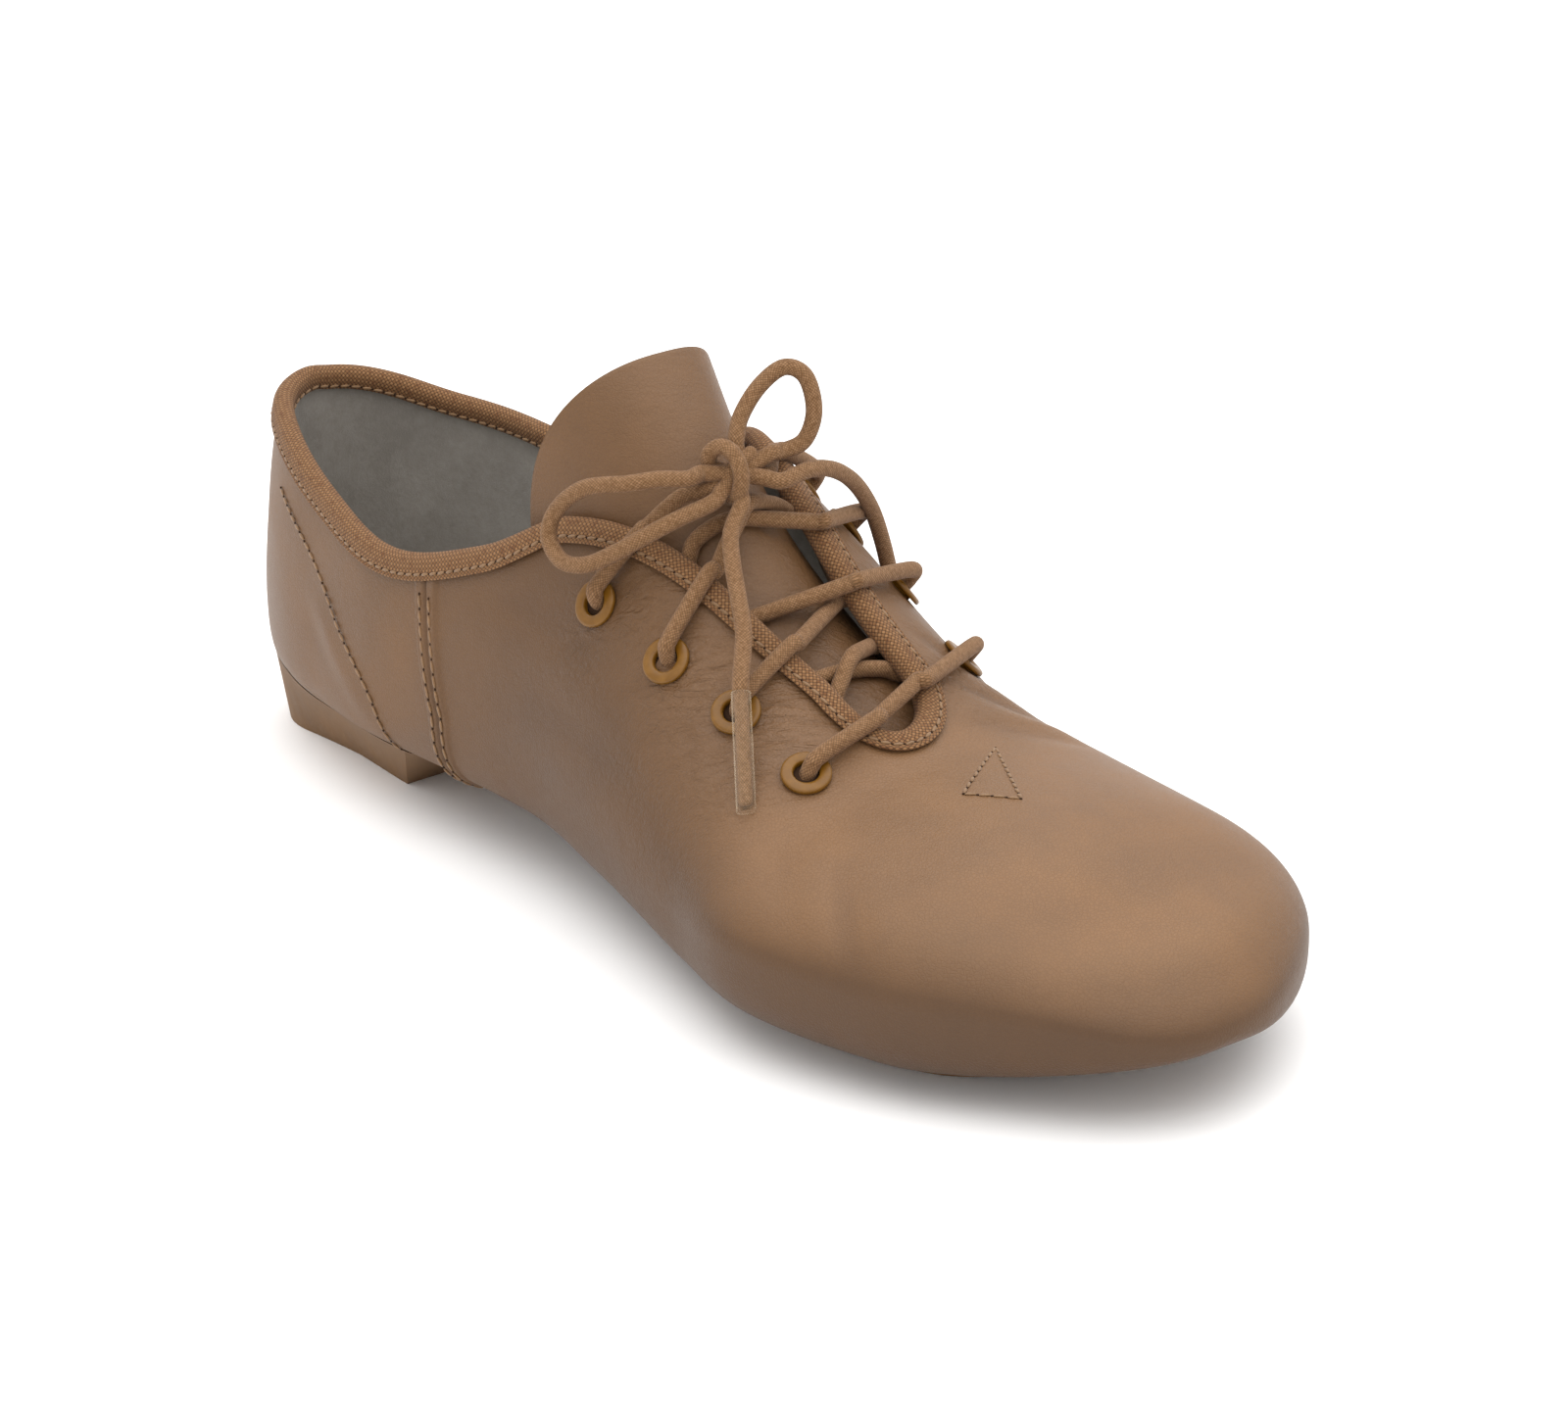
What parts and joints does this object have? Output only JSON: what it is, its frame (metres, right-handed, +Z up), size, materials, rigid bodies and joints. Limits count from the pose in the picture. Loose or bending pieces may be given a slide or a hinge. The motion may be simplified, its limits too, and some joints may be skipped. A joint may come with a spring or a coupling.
{
  "type": "jazz shoe",
  "caption": "Low soft leather jazz dance shoe for the right foot, laced over a tongue, with braided edge binding, a low heel and a forefoot sole.",
  "frame": {"origin": "on the floor plane at the middle of the heel's flat underside", "axes": "+X from heel to toe, +Y to the inner (big toe) side of this right shoe, +Z up"},
  "size_m": [0.25, 0.0898, 0.0948],
  "materials": {
    "leather": "soft tan full grain leather with a low sheen",
    "rubber": "matt tan moulded rubber",
    "suede": "grey brushed suede lining",
    "braid": "tan woven cotton braid",
    "enamel": "mustard brown enamelled brass",
    "cord": "tan round woven cord",
    "aglet": "clear plastic sleeve over the cord"
  },
  "bodies": {
    "root": {"upper": "leather", "binding": "braid", "tongue": "leather", "insole": "suede", "forefoot_sole": "rubber", "heel": "rubber", "eyelet_outer_1": "enamel", "eyelet_outer_2": "enamel", "eyelet_outer_3": "enamel", "eyelet_outer_4": "enamel", "eyelet_inner_1": "enamel", "eyelet_inner_2": "enamel", "eyelet_inner_3": "enamel", "eyelet_inner_4": "enamel", "lace_bar": "cord", "lace_crossing_1": "cord", "lace_crossing_2": "cord", "lace_crossing_3": "cord", "lace_knot": "cord", "lace_loop_outer": "cord", "lace_loop_inner": "cord", "lace_end_outer": "cord", "lace_end_inner": "cord", "aglet_outer": "aglet", "aglet_inner": "aglet"}
  },
  "joints": []
}
